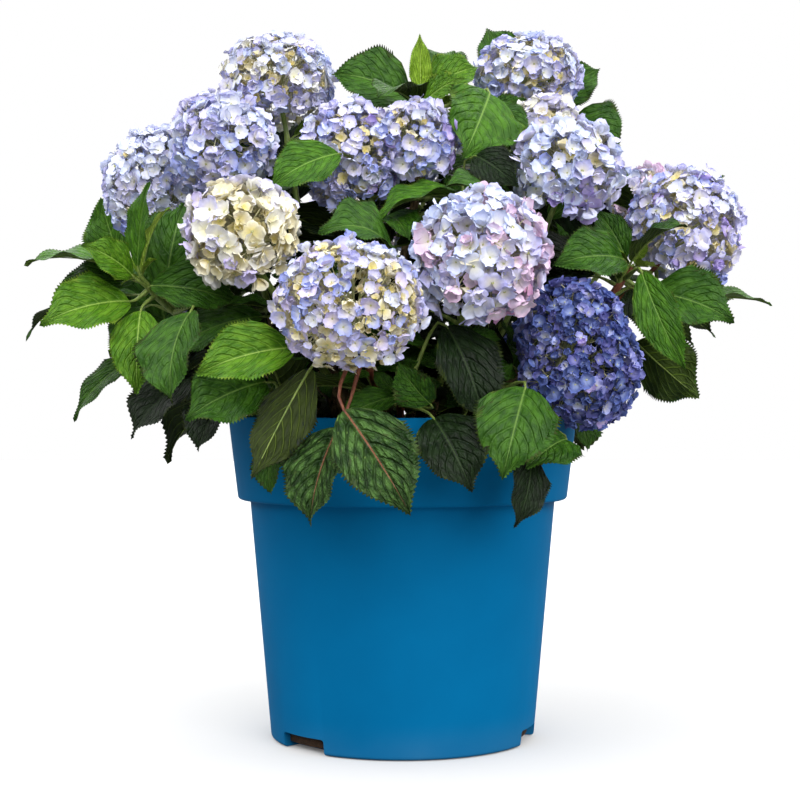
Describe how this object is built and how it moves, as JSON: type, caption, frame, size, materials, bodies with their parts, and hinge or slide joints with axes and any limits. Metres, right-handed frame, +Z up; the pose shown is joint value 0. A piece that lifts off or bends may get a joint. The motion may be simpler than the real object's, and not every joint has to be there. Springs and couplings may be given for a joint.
{
  "type": "potted hydrangea shrub",
  "caption": "Mophead hydrangea shrub with arching canes, toothed leaves and round flower heads, growing in a plastic nursery pot with a deep rim band.",
  "frame": {"origin": "centre of the pot's flat underside", "axes": "+Z up the pot's axis, -Y towards the front of the plant, +X to the right as seen from the front"},
  "size_m": [0.602, 0.5048, 0.596],
  "materials": {
    "pot_blue": "satin moulded plastic, blue",
    "potting_mix": "dark damp bark and peat mix",
    "bark": "thin grey-brown bark, green on young wood",
    "foliage": "soft green leaves, paler underneath",
    "blossom": "lilac-blue sepals with cream young florets"
  },
  "bodies": {
    "root": {"bough_back_low_left": "bark", "bough_back_low_right": "bark", "bough_leafy_right": "bark", "bough_leafy_top": "bark", "bough_left_back": "bark", "bough_left_inner": "bark", "bough_left_low": "bark", "bough_right_inner": "bark", "cane_back_left": "bark", "cane_back_middle": "bark", "cane_back_right": "bark", "cane_cream": "bark", "cane_deep_blue": "bark", "cane_leafy_left": "bark", "cane_left": "bark", "cane_low_back_left": "bark", "cane_low_back_right": "bark", "cane_low_front": "bark", "cane_low_left": "bark", "cane_low_right": "bark", "cane_lower_middle": "bark", "cane_middle_right": "bark", "cane_right": "bark", "cane_right_back": "bark", "cane_right_middle": "bark", "cane_top_back": "bark", "cane_upper_left": "bark", "cane_upper_middle": "bark", "cane_upper_right": "bark", "pot": "pot_blue", "potting_mix": "potting_mix", "shoot_back_left": "foliage", "shoot_back_low_left": "foliage", "shoot_back_low_right": "foliage", "shoot_back_middle": "foliage", "shoot_back_right": "foliage", "shoot_cream": "foliage", "shoot_deep_blue": "foliage", "shoot_leafy_left": "foliage", "shoot_leafy_right": "foliage", "shoot_leafy_top": "foliage", "shoot_left": "foliage", "shoot_left_back": "foliage", "shoot_left_inner": "foliage", "shoot_left_low": "foliage", "shoot_low_back_left": "foliage", "shoot_low_back_right": "foliage", "shoot_low_front": "foliage", "shoot_low_left": "foliage", "shoot_low_right": "foliage", "shoot_lower_middle": "foliage", "shoot_middle_right": "foliage", "shoot_right": "foliage", "shoot_right_back": "foliage", "shoot_right_inner": "foliage", "shoot_right_middle": "foliage", "shoot_top_back": "foliage", "shoot_upper_left": "foliage", "shoot_upper_middle": "foliage", "shoot_upper_right": "foliage"}
  },
  "joints": []
}
